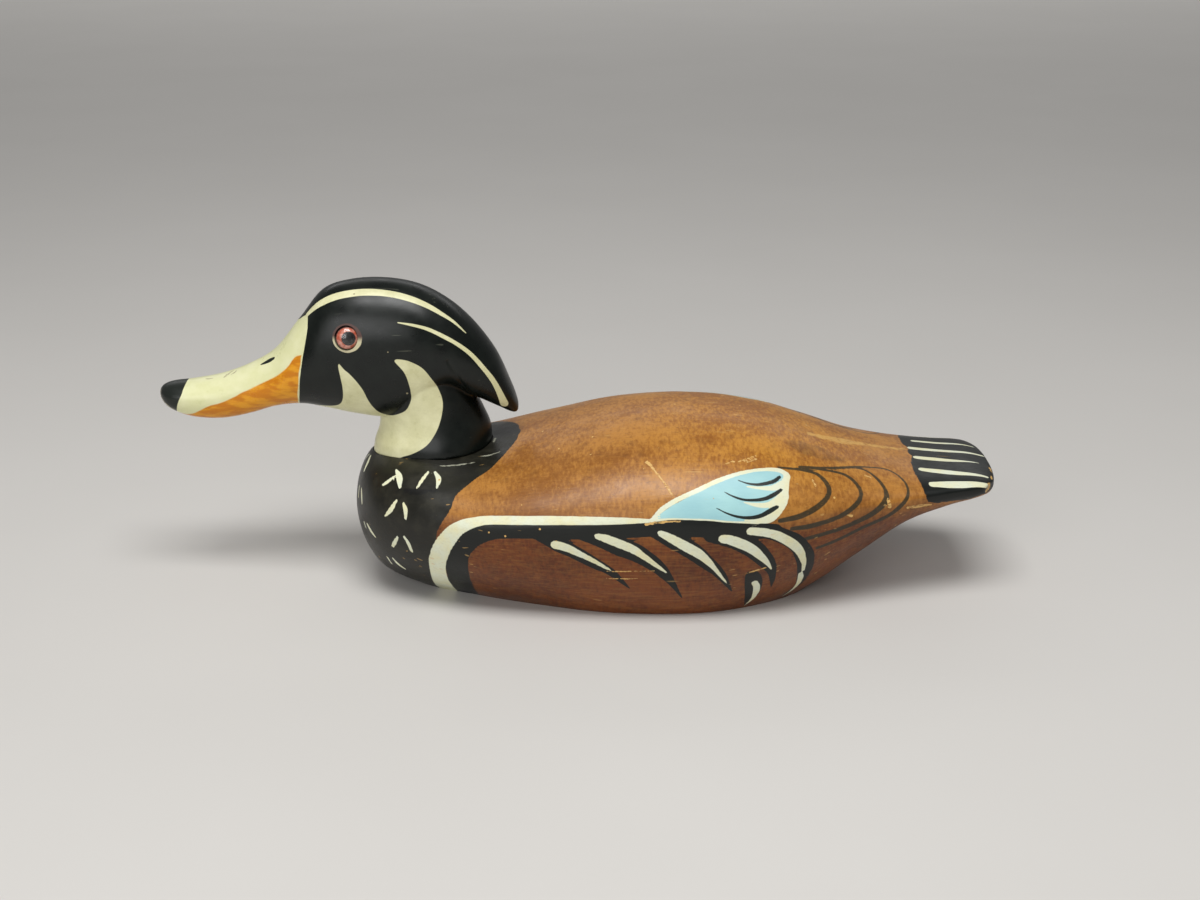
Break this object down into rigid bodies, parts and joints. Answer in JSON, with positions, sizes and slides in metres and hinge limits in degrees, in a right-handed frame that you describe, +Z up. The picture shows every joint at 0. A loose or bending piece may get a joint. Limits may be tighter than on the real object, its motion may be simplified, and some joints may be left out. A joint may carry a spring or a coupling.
{
  "type": "wooden duck decoy",
  "caption": "Carved and painted wood-duck drake decoy: a flat-bottomed body, a head and crest glued on its neck shelf, and domed glass eyes.",
  "frame": {"origin": "on the ground, under the middle of the whole length and width", "axes": "+Z up, -X towards the bill, +X towards the tail; the duck's left side faces -Y"},
  "size_m": [0.354, 0.1234, 0.131],
  "materials": {
    "painted_wood_body": "satin",
    "painted_wood_head": "satin",
    "glass_eye": "gloss"
  },
  "bodies": {
    "root": {"body": "painted_wood_body", "head": "painted_wood_head", "eye_left": "glass_eye", "eye_right": "glass_eye"}
  },
  "joints": []
}
